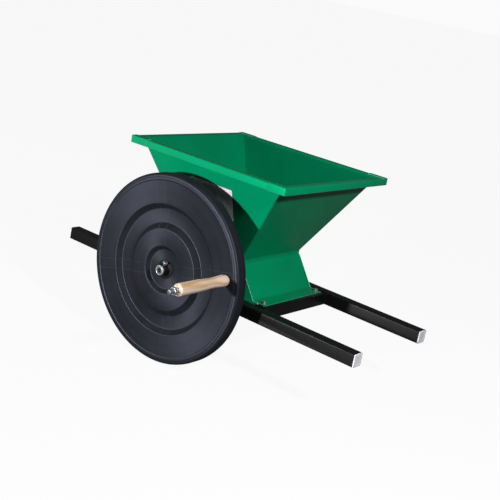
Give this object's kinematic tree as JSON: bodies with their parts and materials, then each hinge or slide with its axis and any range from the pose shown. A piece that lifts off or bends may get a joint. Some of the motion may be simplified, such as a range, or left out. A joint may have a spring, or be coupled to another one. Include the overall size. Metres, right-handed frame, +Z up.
{
  "type": "grape crusher",
  "caption": "Hand-cranked grape crusher: a green sheet hopper over geared ribbed rollers on black tube rails, turned by a weighted flywheel with a wooden grip.",
  "frame": {"origin": "middle of the frame, on the plane of the undersides of the two rails, where they lie on a vat", "axes": "+X along the rails, +Y across the rails away from the flywheel, +Z up"},
  "size_m": [1.05, 0.7368, 0.574],
  "materials": {
    "green_paint": "semi-gloss enamel on folded sheet steel",
    "black_paint": "satin black enamel on steel",
    "black_plastic": "satin moulded black plastic",
    "white_plastic": "moulded white end cap",
    "white_vinyl": "bare white vinyl label",
    "zinc_steel": "zinc plated",
    "bright_steel": "turned bright steel",
    "bronze": "turned bronze",
    "cast_alloy": "cast aluminium",
    "grey_iron": "greased cast iron",
    "concrete": "cast concrete",
    "beech": "turned and lacquered beech"
  },
  "bodies": {
    "frame": {"near_rail": "black_paint", "far_rail": "black_paint", "left_cross_tube": "black_paint", "right_cross_tube": "black_paint", "rail_end_caps": "white_plastic", "hopper": "green_paint", "hopper_label": "white_vinyl", "near_side_plate": "green_paint", "far_side_plate": "green_paint", "left_chute": "green_paint", "right_chute": "green_paint", "collar_bolts": "zinc_steel", "collar_nuts": "zinc_steel", "foot_bolts": "zinc_steel", "foot_washers": "zinc_steel", "foot_nuts": "zinc_steel", "near_bushes": "bronze", "far_bushes": "bronze", "bush_screws": "zinc_steel", "gear_guard": "black_paint", "guard_screws": "zinc_steel"},
    "flywheel": {"drive_shaft": "bright_steel", "drive_roller": "cast_alloy", "drive_roller_pins": "bright_steel", "drive_gear": "grey_iron", "drive_gear_key": "bright_steel", "drive_circlips": "bright_steel", "flywheel_front_shell": "black_plastic", "flywheel_back_shell": "black_plastic", "flywheel_ballast": "concrete", "shell_screws": "zinc_steel", "hub_flange": "black_paint", "hub_back_plate": "black_paint", "hub_bolts": "zinc_steel", "hub_set_bolt": "zinc_steel", "shaft_lock_ring": "zinc_steel", "handle_spindle": "bright_steel", "spindle_washers": "zinc_steel", "spindle_nuts": "zinc_steel"},
    "grip": {"handle_grip": "beech"},
    "driven_roller": {"driven_shaft": "bright_steel", "driven_roller": "cast_alloy", "driven_roller_pins": "bright_steel", "driven_gear": "grey_iron", "driven_gear_key": "bright_steel", "driven_circlips": "bright_steel"}
  },
  "joints": [
    {"name": "flywheel_spin", "type": "hinge", "parent": "frame", "child": "flywheel", "pos_m": [-0.048, 0, 0.074], "axis": [0, 1, 0], "continuous": true},
    {"name": "driven_roller_spin", "type": "hinge", "parent": "frame", "child": "driven_roller", "pos_m": [0.048, 0, 0.074], "axis": [0, 1, 0], "continuous": true},
    {"name": "grip_spin", "type": "hinge", "parent": "flywheel", "child": "grip", "pos_m": [0.16817, -0.37, 0.11995], "axis": [0, 1, 0], "continuous": true}
  ],
  "couplings": [
    {"joint": "driven_roller_spin", "follows": "flywheel_spin", "ratio": -1}
  ]
}
